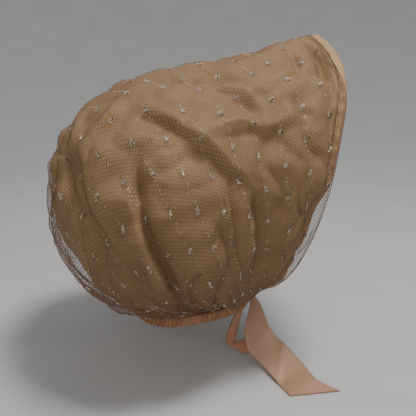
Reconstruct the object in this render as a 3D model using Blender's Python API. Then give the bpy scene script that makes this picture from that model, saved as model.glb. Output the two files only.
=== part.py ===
"""A hair bonnet: a puffed satin crown under a net cover, gathered into a neck casing.

Metres, +Z up. The face opening looks along -Y and the wearer's left is +X. The origin is the
inside of the crown straight above the middle of the neck, where a head carries the bonnet.
Heights in the tables are measured from the level on which the end of the ribbon lies.
"""
from collections import namedtuple
from math import cos, exp, pi, radians, sin

import bmesh
import bpy
from mathutils import Vector
from mathutils.geometry import intersect_point_line

LYING_LEVEL = -0.3264   # where the ribbon's end lies, below the seat on the head

# The bonnet's form is a fan of hoops that all start at one side of the chin, pass round the
# head and end at the other side. The first is the neck casing, the last is the front rim.
EGG = 0.16                  # hoops are wider above their middle than below
PEAK_TURN = radians(70)     # how far the pointed part of a hoop's top reaches to each side
PEAK_RISE = 0.10
PEAK_SHARPNESS = 1.6
JOWL_SHARPNESS = 1.5
SWAY = 0.0052               # the rim stands forward beside the peak and back over the ear
SWAY_REACH = 0.62           # the way round at which it has ended
SWAY_SHARE = 0.70           # the share of the hoops at which it begins

Hoop = namedtuple("Hoop", "share top_y top_z half_width end_y end_z end_turn side_lift "
                  "peak jowl")
HOOPS = (
    Hoop(0.00, 0.060, 0.060, 0.062, -0.068, 0.058, 170, 0.000, 0.00, 0.00),   # neck casing
    Hoop(0.08, 0.106, 0.079, 0.086, -0.070, 0.060, 168, 0.011, 0.00, 0.00),
    Hoop(0.22, 0.151, 0.149, 0.119, -0.072, 0.062, 166, 0.007, 0.00, 0.00),
    Hoop(0.40, 0.139, 0.250, 0.131, -0.075, 0.064, 165, 0.002, 0.05, 0.00),
    Hoop(0.58, 0.070, 0.317, 0.128, -0.077, 0.065, 164, 0.000, 0.15, 0.05),
    Hoop(0.78, -0.050, 0.344, 0.121, -0.079, 0.067, 163, 0.000, 0.45, 0.13),
    Hoop(1.00, -0.160, 0.366, 0.112, -0.080, 0.069, 162, 0.000, 0.90, 0.30),  # front rim
)

# Cloth. The net stands clear of the satin most where it balloons out above the nape.
SATIN_THICKNESS = 0.0012
NET_THICKNESS = 0.0010
HEM_THICKNESS = 0.0024
NET_CLEARANCE = 0.0038
BALLOON = 0.0085
BALLOON_SHARE = 0.20
BALLOON_REACH = 0.13
NET_FOLLOWS = 0.86          # how much of each fold of the satin the net takes up
AROUND = 64                 # faces from chin to chin
SATIN_ROWS = 18
NET_ROWS = 14
ROW_CROWDING = 1.15         # above 1 the rows lie closer together near the casing

# Gathers run up from the casing and fade into the crown.
GATHERS = 15
GATHER_DEPTH = 0.0075
GATHER_FULLEST = 0.06       # the share where they are deepest
GATHER_DRIFT = 1.3          # unevenness of their spacing, in radians of a gather
GATHER_DRIFT_RATE = 5
FLAT_ENDS = (0.82, 0.96)    # between these the gathers and folds die out towards the chin

# Folds run up from the casing: each row goes from one point of the crown to another, given
# by the way round a hoop (-1 and 1 at the chin, 0 over the head) and the hoop's share.
FOLD_STEPS = 6
FOLD_AT_ENDS = 0.35         # how much of its depth a fold keeps at its two ends
Fold = namedtuple("Fold", "low_round low_share high_round high_share depth width")
FOLDS = (
    Fold(-0.52, 0.14, -0.27, 0.56, 0.0140, 0.0130),    # long groove behind the right ear
    Fold(-0.76, 0.42, -0.50, 0.74, 0.0110, 0.0140),    # groove in front of the right ear
    Fold(-0.30, 0.12, -0.12, 0.46, 0.0095, 0.0140),    # beside the nape
    Fold(-0.66, 0.18, -0.58, 0.46, 0.0070, 0.0120),
    Fold(-0.23, 0.61, -0.42, 0.68, -0.0025, 0.0160),   # ridge down from the crown
    Fold(-0.29, 0.66, -0.30, 0.84, -0.0025, 0.0160),   # ridge towards the forehead
    Fold(-0.36, 0.62, -0.40, 0.80, 0.0070, 0.0150),    # hollow between the two ridges
    Fold(-0.09, 0.84, -0.14, 1.00, 0.0060, 0.0110),    # crease beside the peak
    Fold(-0.58, 0.76, -0.46, 0.94, 0.0060, 0.0130),
    Fold(0.50, 0.14, 0.30, 0.58, 0.0130, 0.0135),      # the left side, much the same
    Fold(0.75, 0.42, 0.54, 0.70, 0.0100, 0.0140),
    Fold(0.25, 0.12, 0.14, 0.44, 0.0090, 0.0140),
    Fold(0.65, 0.18, 0.62, 0.48, 0.0070, 0.0120),
    Fold(0.28, 0.62, 0.44, 0.70, -0.0025, 0.0160),
    Fold(0.38, 0.62, 0.34, 0.84, 0.0065, 0.0150),
    Fold(0.12, 0.82, 0.16, 1.00, 0.0055, 0.0120),
    Fold(0.03, 0.14, -0.02, 0.42, 0.0080, 0.0140),
    Fold(0.00, 0.56, 0.00, 0.88, 0.0030, 0.0450),      # the crown sinks a little along its top
)

# The satin ends at the hem band. Over the forehead the band shows in front of the net's edge.
# At the cheeks the net reaches the rim, and satin and band lie behind it and turn inwards.
EDGE_ABOVE_CASING = 0.0013
FLATTER_ENDS = (0.75, 1.00)
HEM_WIDTH = 0.0100
HEM_GAP = 0.0012
NET_SHORT = 0.0115          # from the rim to the net's edge, over the forehead
NET_CHEEK = (0.14, 0.32)    # the ways round between which the net comes out to the rim
SATIN_BACK = 0.0075         # from the rim to the satin band's edge, at the cheeks
SATIN_CHEEK = (0.20, 0.42)
SATIN_CHEEK_END = (0.75, 1.00)
ROLL_IN = 0.0060
ROLL_SHARES = (0.84, 0.98)
NARROW_ENDS = (0.85, 1.00)  # where the band narrows and is caught in the casing

# Neck casing: a flattened channel that the ribbon is drawn through, ruffled along its edge.
CASING_HEIGHT = 0.0130
CASING_DEPTH = 0.0056
CASING_WALL = 0.0011
CASING_SIDES = 6
CASING_RUFFLE = 0.0012
CASING_DROP = 0.52          # the share of its height by which its middle lies under the cloth

# The ribbon, given by its lower and upper edge. From the tip on the level where it lies it
# climbs to the left end of the casing, runs through it, and ends in a short loop.
RIBBON_THICKNESS = 0.0010
RIBBON_IN_CASING = 0.0085   # its width where the casing gathers it
RIBBON_STEPS = 4            # faces between two rows
Station = namedtuple("Station", "ax ay az bx by bz")
TAIL = (
    Station(-0.1500, -0.1235, 0.0012, -0.1475, -0.1250, 0.0014),    # pointed tip
    Station(-0.1430, -0.0960, 0.0010, -0.1280, -0.1200, 0.0050),
    Station(-0.1360, -0.0720, 0.0008, -0.1000, -0.1020, 0.0140),
    Station(-0.1180, -0.0600, 0.0030, -0.0700, -0.0830, 0.0260),    # crease
    Station(-0.0900, -0.0560, 0.0140, -0.0560, -0.0830, 0.0310),
    Station(-0.0560, -0.0620, 0.0270, -0.0400, -0.0850, 0.0390),
    Station(-0.0280, -0.0780, 0.0370, -0.0200, -0.0870, 0.0480),
    Station(-0.0060, -0.0800, 0.0460, -0.0030, -0.0810, 0.0560),    # crosses the loop
)
LOOP = (
    Station(-0.0050, -0.0690, 0.0470, 0.0020, -0.0680, 0.0540),
    Station(-0.0140, -0.0660, 0.0390, 0.0000, -0.0680, 0.0400),
    Station(-0.0340, -0.0500, 0.0280, -0.0190, -0.0620, 0.0260),
    Station(-0.0480, -0.0420, 0.0200, -0.0350, -0.0540, 0.0120),
    Station(-0.0500, -0.0450, 0.0150, -0.0400, -0.0580, 0.0080),    # foot of the loop
    Station(-0.0490, -0.0540, 0.0190, -0.0370, -0.0660, 0.0130),
    Station(-0.0340, -0.0690, 0.0310, -0.0230, -0.0740, 0.0250),
    Station(-0.0190, -0.0745, 0.0390, -0.0110, -0.0750, 0.0360),
)

SATIN_COLOUR = (0.330, 0.215, 0.135, 1.0)
HEM_COLOUR = (0.420, 0.300, 0.200, 1.0)
NET_COLOUR = (0.200, 0.110, 0.075, 1.0)
CASING_COLOUR = (0.300, 0.115, 0.075, 1.0)
RIBBON_COLOUR = (0.420, 0.245, 0.175, 1.0)


def smooth_step(value, low, high):
    part = min(max((value - low) / (high - low), 0.0), 1.0)
    return part * part * (3 - 2 * part)


def smooth_curve(keys, values, at):
    """The value at a place on the smooth curve through (key, value) pairs."""
    last = len(keys) - 1
    k = max([i for i in range(last) if keys[i] <= at], default=0)

    def slope(i):
        before, after = max(i - 1, 0), min(i + 1, last)
        return (values[after] - values[before]) / (keys[after] - keys[before])

    step = keys[k + 1] - keys[k]
    u = (at - keys[k]) / step
    return ((2 * u**3 - 3 * u**2 + 1) * values[k] + (u**3 - 2 * u**2 + u) * step * slope(k)
            + (3 * u**2 - 2 * u**3) * values[k + 1] + (u**3 - u**2) * step * slope(k + 1))


def hoop_at(share):
    keys = [hoop.share for hoop in HOOPS]
    return Hoop(*(smooth_curve(keys, column, share) for column in zip(*HOOPS)))


def form_point(way_round, share):
    """A point of the bonnet's smooth outer form."""
    hoop = hoop_at(share)
    turn = abs(way_round) * radians(hoop.end_turn)
    pointed = max(1 - turn / PEAK_TURN, 0) ** PEAK_SHARPNESS * PEAK_RISE * hoop.peak
    up = ((1 + cos(turn)) / 2 + pointed) / (1 + PEAK_RISE * hoop.peak)
    out = sin(turn) * (1 + EGG * cos(turn))
    out *= 1 + hoop.jowl * max(-cos(turn), 0) ** JOWL_SHARPNESS
    side = 1 if way_round > 0 else -1
    height = hoop.end_z + (hoop.top_z - hoop.end_z) * up + hoop.side_lift * sin(turn) ** 2
    part = min(abs(way_round) / SWAY_REACH, 1)
    forward = SWAY * sin(2 * pi * part) * sin(pi * part) * smooth_step(share, SWAY_SHARE, 1)
    return Vector((side * hoop.half_width * out,
                   hoop.end_y + (hoop.top_y - hoop.end_y) * up - forward,
                   height + LYING_LEVEL))


def form_normal(way_round, share):
    """The outward direction of the smooth form."""
    step = 0.004
    round_low, round_high = max(way_round - step, -1), min(way_round + step, 1)
    share_low, share_high = max(share - step, 0), min(share + step, 1)
    across = form_point(round_high, share) - form_point(round_low, share)
    along = form_point(way_round, share_high) - form_point(way_round, share_low)
    return along.cross(across).normalized()


def fold_line(fold):
    """Points along a fold, on the smooth form."""
    return [form_point(fold.low_round + (fold.high_round - fold.low_round) * k / FOLD_STEPS,
                       fold.low_share + (fold.high_share - fold.low_share) * k / FOLD_STEPS)
            for k in range(FOLD_STEPS + 1)]


def fold_profile(fold, line, here):
    """The depth of one fold at a point, from its distance to the fold's line."""
    nearest, part = 1.0, 0.0
    for k in range(FOLD_STEPS):
        run = intersect_point_line(here, line[k], line[k + 1])[1]
        run = min(max(run, 0.0), 1.0)
        distance = (here - line[k].lerp(line[k + 1], run)).length
        if distance < nearest:
            nearest, part = distance, (k + run) / FOLD_STEPS
    middle = smooth_step(part, 0.0, 0.35) * (1 - smooth_step(part, 0.65, 1.0))
    fade = FOLD_AT_ENDS + (1 - FOLD_AT_ENDS) * middle
    return fold.depth * fade * exp(-((nearest / fold.width) ** 2))


def fold_depth(way_round, share):
    """How far the cloth falls in from the smooth form, by its gathers and its folds."""
    drift = GATHER_DRIFT * sin(GATHER_DRIFT_RATE * way_round)
    wave = 0.5 - 0.5 * cos(pi * GATHERS * (way_round + 1) + drift)
    here = form_point(way_round, share)
    fullness = share / GATHER_FULLEST
    depth = GATHER_DEPTH * wave * max(fullness, 0) * exp(1 - fullness)
    depth += sum(fold_profile(fold, line, here) for fold, line in zip(FOLDS, FOLD_LINES))
    return depth * (1 - smooth_step(abs(way_round), *FLAT_ENDS))


def satin_gap(way_round, share):
    """The room between the net and the satin's outer face."""
    lift = exp(-(((share - BALLOON_SHARE) / BALLOON_REACH) ** 2))
    lift *= 1 - smooth_step(abs(way_round), 0.35, 0.75)
    return NET_CLEARANCE * (0.4 + 0.6 * smooth_step(share, 0, 0.1)) + BALLOON * lift


def satin_inward(way_round, share):
    """How far the satin lies inside the smooth form."""
    cheek = smooth_step(abs(way_round), *SATIN_CHEEK)
    cheek *= 1 - smooth_step(abs(way_round), *SATIN_CHEEK_END)
    roll = ROLL_IN * cheek * smooth_step(share, *ROLL_SHARES)
    return NET_THICKNESS + satin_gap(way_round, share) + fold_depth(way_round, share) + roll


def share_near(way_round, edge_share, distance):
    """The share of the hoop that runs a distance in from the casing or from the rim."""
    step = 0.04 if edge_share == 0 else -0.04
    run = (form_point(way_round, edge_share + step) - form_point(way_round, edge_share)).length
    return edge_share + distance * step / run


def hem_edges(way_round):
    """How far the band's two edges lie from the rim of the form."""
    cheek = smooth_step(abs(way_round), *SATIN_CHEEK)
    cheek *= 1 - smooth_step(abs(way_round), *SATIN_CHEEK_END)
    width = HEM_WIDTH * (1 - 0.5 * smooth_step(abs(way_round), *NARROW_ENDS))
    return SATIN_BACK * cheek, SATIN_BACK * cheek + width


def casing_edge(way_round):
    """The share at which the cloth ends over the casing, flatter and further off at the ends."""
    above = EDGE_ABOVE_CASING * (1 + 3 * smooth_step(abs(way_round), *FLATTER_ENDS))
    return share_near(way_round, 0, above)


def satin_point(way_round, part):
    start = casing_edge(way_round)
    end = share_near(way_round, 1, hem_edges(way_round)[1] + HEM_GAP)
    share = start + (end - start) * part
    inward = satin_inward(way_round, share)
    return form_point(way_round, share) - form_normal(way_round, share) * inward


def net_point(way_round, part):
    start = casing_edge(way_round)
    end = share_near(way_round, 1, NET_SHORT * (1 - smooth_step(abs(way_round), *NET_CHEEK)))
    share = start + (end - start) * part
    inward = NET_FOLLOWS * fold_depth(way_round, share)
    return form_point(way_round, share) - form_normal(way_round, share) * inward


def hem_point(way_round, part):
    outer, inner = hem_edges(way_round)
    start, end = share_near(way_round, 1, inner), share_near(way_round, 1, outer)
    share = start + (end - start) * part
    inward = satin_inward(way_round, share)
    return form_point(way_round, share) - form_normal(way_round, share) * inward


def finish(name, mesh_builder, colour, roughness):
    """Make the named object from a bmesh, with its own material."""
    mesh = bpy.data.meshes.new(name)
    mesh_builder.to_mesh(mesh)
    mesh_builder.free()
    mesh.shade_smooth()
    material = bpy.data.materials.new(name)
    material.use_nodes = True
    shader = material.node_tree.nodes["Principled BSDF"]
    shader.inputs["Base Color"].default_value = colour
    shader.inputs["Roughness"].default_value = roughness
    mesh.materials.append(material)
    piece = bpy.data.objects.new(name, mesh)
    bpy.context.scene.collection.objects.link(piece)
    return piece


def cloth_wall(name, surface, rows, thickness, colour, roughness):
    """A wall of cloth: a flat grid laid on a surface, then thickened inwards."""
    grid = bmesh.new()
    bmesh.ops.create_grid(grid, x_segments=AROUND, y_segments=rows, size=1.0)
    for vertex in grid.verts:
        part = (1 - vertex.co.y) / 2
        vertex.co = surface(vertex.co.x, part ** ROW_CROWDING)
    piece = finish(name, grid, colour, roughness)
    solidify = piece.modifiers.new("thickness", "SOLIDIFY")
    solidify.thickness = thickness
    solidify.offset = -1
    return piece


def swept(name, sections, colour, roughness, inner_sections=None):
    """A bar through closed sections, or a channel when inner sections are given."""
    bar = bmesh.new()

    def skin(rings, flip):
        loops = [[bar.verts.new(point) for point in ring] for ring in rings]
        for one, two in zip(loops, loops[1:]):
            for k in range(len(one)):
                n = (k + 1) % len(one)
                corners = (one[k], one[n], two[n], two[k])
                bar.faces.new(reversed(corners) if flip else corners)
        return loops

    outer = skin(sections, False)
    if inner_sections:
        inner = skin(inner_sections, True)
        for end in (0, -1):
            out_ring, in_ring = outer[end], inner[end]
            for k in range(len(out_ring)):
                n = (k + 1) % len(out_ring)
                bar.faces.new((out_ring[k], out_ring[n], in_ring[n], in_ring[k]))
    else:
        bar.faces.new(outer[0])
        bar.faces.new(outer[-1])
    bmesh.ops.recalc_face_normals(bar, faces=bar.faces)
    return finish(name, bar, colour, roughness)


def casing_frame(way_round):
    """Centre of the channel, its outward direction and the ruffle's swell there."""
    here = form_point(way_round, 0)
    ahead = form_point(min(way_round + 0.01, 1), 0)
    behind = form_point(max(way_round - 0.01, -1), 0)
    along = (ahead - behind).normalized()
    outward = along.cross(Vector((0, 0, 1))).normalized()
    swell = CASING_RUFFLE * sin(2 * pi * GATHERS * way_round) - CASING_DEPTH / 2
    return here - Vector((0, 0, CASING_HEIGHT * CASING_DROP)), outward, swell


def casing_ring(way_round, inset):
    centre, outward, swell = casing_frame(way_round)
    ring = []
    for k in range(CASING_SIDES):
        angle = 2 * pi * (k + 0.5) / CASING_SIDES
        out = (CASING_DEPTH / 2 - inset) * cos(angle) / cos(pi / CASING_SIDES)
        rise = (CASING_HEIGHT / 2 - inset) * sin(angle) / cos(pi / CASING_SIDES)
        ring.append(centre + outward * (out + swell) + Vector((0, 0, rise)))
    return ring


def make_casing():
    places = [2 * k / AROUND - 1 for k in range(AROUND + 1)]
    outer = [casing_ring(place, 0) for place in places]
    inner = [casing_ring(place, CASING_WALL) for place in places]
    return swept("neck_casing", outer, CASING_COLOUR, 0.55, inner)


def eased(edges):
    """More pairs of edge points, on smooth curves through the given ones."""
    keys = list(range(len(edges)))
    columns = list(zip(*[[*a, *b] for a, b in edges]))
    for step in range((len(edges) - 1) * RIBBON_STEPS + 1):
        row = [smooth_curve(keys, column, step / RIBBON_STEPS) for column in columns]
        yield Vector(row[:3]), Vector(row[3:])


def free_edges(rows):
    level = Vector((0, 0, LYING_LEVEL))
    return [(Vector(row[:3]) + level, Vector(row[3:]) + level) for row in rows]


def edges_in_casing(way_round):
    centre, outward, swell = casing_frame(way_round)
    centre += outward * swell
    half = Vector((0, 0, RIBBON_IN_CASING / 2))
    return centre - half, centre + half


def make_ribbon():
    left_end, right_end = edges_in_casing(1), edges_in_casing(-1)
    inside = [edges_in_casing(1 - 2 * k / AROUND) for k in range(1, AROUND)]
    edges = [*eased([*free_edges(TAIL), left_end]), *inside,
             *eased([right_end, *free_edges(LOOP)])]
    sections = []
    last = len(edges) - 1
    for k, (a, b) in enumerate(edges):
        before, after = edges[max(k - 1, 0)], edges[min(k + 1, last)]
        travel = (after[0] + after[1] - before[0] - before[1]).normalized()
        off = travel.cross(b - a).normalized() * (RIBBON_THICKNESS / 2)
        sections.append([a - off, b - off, b + off, a + off])
    return swept("neck_ribbon", sections, RIBBON_COLOUR, 0.42)


FOLD_LINES = [fold_line(fold) for fold in FOLDS]

for old in list(bpy.data.objects):
    bpy.data.objects.remove(old)

cloth_wall("satin_crown", satin_point, SATIN_ROWS, SATIN_THICKNESS, SATIN_COLOUR, 0.40)
cloth_wall("front_hem", hem_point, 1, HEM_THICKNESS, HEM_COLOUR, 0.38)
cloth_wall("net_cover", net_point, NET_ROWS, NET_THICKNESS, NET_COLOUR, 0.60)
make_casing()
make_ribbon()
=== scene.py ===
"""The looks of a hair bonnet: satin under a dotted net, gathered on a ribbon. Metres, +Z up."""
import random
from collections import namedtuple
from math import cos, pi, radians, sin

import bmesh
import bpy
import numpy as np
from mathutils import Matrix, Vector, noise


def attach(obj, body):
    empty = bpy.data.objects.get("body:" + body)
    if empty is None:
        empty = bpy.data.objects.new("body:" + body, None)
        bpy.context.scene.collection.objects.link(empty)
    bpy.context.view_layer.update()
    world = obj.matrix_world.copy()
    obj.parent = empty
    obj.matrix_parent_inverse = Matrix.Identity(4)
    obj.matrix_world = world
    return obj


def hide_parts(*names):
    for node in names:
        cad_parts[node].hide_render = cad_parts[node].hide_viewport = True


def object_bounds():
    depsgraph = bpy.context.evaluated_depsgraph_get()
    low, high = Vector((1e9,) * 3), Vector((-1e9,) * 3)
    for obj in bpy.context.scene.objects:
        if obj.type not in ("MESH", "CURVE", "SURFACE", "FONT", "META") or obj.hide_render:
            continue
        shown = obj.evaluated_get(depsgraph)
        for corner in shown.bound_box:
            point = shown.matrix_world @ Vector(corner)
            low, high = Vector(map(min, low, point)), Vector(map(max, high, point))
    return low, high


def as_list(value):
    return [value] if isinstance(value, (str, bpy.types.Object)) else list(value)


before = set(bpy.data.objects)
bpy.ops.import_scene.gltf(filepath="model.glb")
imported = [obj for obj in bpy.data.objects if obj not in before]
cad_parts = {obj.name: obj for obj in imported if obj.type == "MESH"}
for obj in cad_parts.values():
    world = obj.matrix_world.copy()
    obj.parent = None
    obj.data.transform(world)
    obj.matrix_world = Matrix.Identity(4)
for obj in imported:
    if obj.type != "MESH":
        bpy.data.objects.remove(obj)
cad_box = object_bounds()

# Camera. The photograph looks down on the wearer's right side from a little behind, with the
# view of a phone. The neck opening is left of the picture's middle.
VIEW_ROUND = radians(-110)
VIEW_DOWN = radians(17.5)
VIEW_DISTANCE = 0.607       # from the neck opening's middle, level
VIEW_ASIDE = 0.024
VIEW_HEIGHT = 0.365         # above the floor
VIEW_PIXELS = 416
FOCAL_PIXELS = 550
SENSOR_WIDTH = 36.0         # millimetres
floor_level = cad_box[0].z - 0.0002

camera = bpy.data.objects.new("camera", bpy.data.cameras.new("camera"))
camera.data.sensor_width = SENSOR_WIDTH
camera.data.lens = SENSOR_WIDTH * FOCAL_PIXELS / VIEW_PIXELS
camera.location = (
    VIEW_DISTANCE * sin(VIEW_ROUND) + VIEW_ASIDE * cos(VIEW_ROUND),
    -VIEW_DISTANCE * cos(VIEW_ROUND) + VIEW_ASIDE * sin(VIEW_ROUND),
    floor_level + VIEW_HEIGHT,
)
camera.rotation_euler = (pi / 2 - VIEW_DOWN, 0, VIEW_ROUND)
bpy.context.scene.collection.objects.link(camera)
bpy.context.scene.camera = camera

# Satin crown. A D of taupe satin: its straight edge is the face opening's rim and its round
# edge is gathered on the neck casing. Its form is a fan of hoops from one side of the chin
# over the head to the other, in which every fold and gather is then sunk.
EGG = 0.16                  # a hoop is fuller above than below
PEAK_TURN = radians(70)     # the rim rises to a soft point over the forehead
PEAK_RISE = 0.10
PEAK_SHARPNESS = 1.6
JOWL_SHARPNESS = 1.5
SWAY = 0.0052               # the rim stands forward beside the peak and back over the ear
SWAY_REACH = 0.62           # the way round at which it ends
SWAY_SHARE = 0.70
Hoop = namedtuple("Hoop", "share top_y top_z half_width end_y end_z end_turn side_lift "
                  "peak jowl")
HOOPS = (
    Hoop(0.00, 0.060, 0.060, 0.062, -0.068, 0.058, 170, 0.011, 0.00, 0.00),   # neck casing
    Hoop(0.08, 0.106, 0.079, 0.086, -0.070, 0.060, 168, 0.0125, 0.00, 0.00),
    Hoop(0.22, 0.151, 0.149, 0.119, -0.072, 0.062, 166, 0.007, 0.00, 0.00),
    Hoop(0.40, 0.139, 0.250, 0.131, -0.075, 0.064, 165, 0.002, 0.05, 0.00),
    Hoop(0.58, 0.070, 0.317, 0.128, -0.077, 0.065, 164, 0.000, 0.15, 0.05),
    Hoop(0.78, -0.050, 0.344, 0.121, -0.079, 0.067, 163, 0.000, 0.45, 0.13),
    Hoop(1.00, -0.160, 0.366, 0.112, -0.080, 0.069, 162, 0.000, 0.90, 0.30),  # front rim
)
HALF_RIM = 0.383            # the rim from over the forehead to one side of the chin
LONGEST = 0.571             # over the crown from the casing to the rim
SATIN_THICKNESS = 0.0011    # with its lining
NET_THICKNESS = 0.0006
NET_CLEARANCE = 0.0007
BALLOON = 0.0115            # how far the net stands off above the nape
BALLOON_SHARE = 0.17
BALLOON_REACH = 0.13
NET_FOLLOWS = 0.88          # of a fold's depth in the satin
NET_SMOOTHED = 0.6          # how much less creased the net is where it stands off
BALLOON_SIDES = (0.35, 0.75)
GATHERS = 15
GATHER_DEPTH = 0.0100
GATHER_FULLEST = 0.06
GATHER_DRIFT = 1.3
GATHER_DRIFT_RATE = 5
FINE_GATHERS = 86
FINE_GATHER_DEPTH = 0.0030
FINE_GATHERS_END = 0.24
FINE_GATHERS_HELD = 0.3     # of their depth, at the casing
FOLDS_FREE = (-0.01, 0.07)  # the shares over which the casing lets go of the folds,
CLOTH_FREE = (0.00, 0.08)   # of the fine gathers and the net's lift,
CREASED = (0.02, 0.14)      # and of the creases
CREASED_END = (0.94, 1.00)
FLAT_ENDS = (0.82, 0.96)
HEM_WIDTH = 0.0100
HEM_TAPER = 0.5
HEM_TAPERS = (0.85, 1.00)
HEM_GAP = 0.0003
SATIN_BACK = 0.0075         # from the rim to the hem's edge, at the cheeks
SATIN_CHEEK = (0.50, 0.62)  # the ways round over which it draws back there
SATIN_CHEEK_END = (0.90, 1.00)  # and comes out again
ROLL_IN = 0.0060            # how far the satin rolls inwards there
ROLL_SHARES = (0.84, 0.98)
EDGE_ABOVE_CASING = 0.0013

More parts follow.
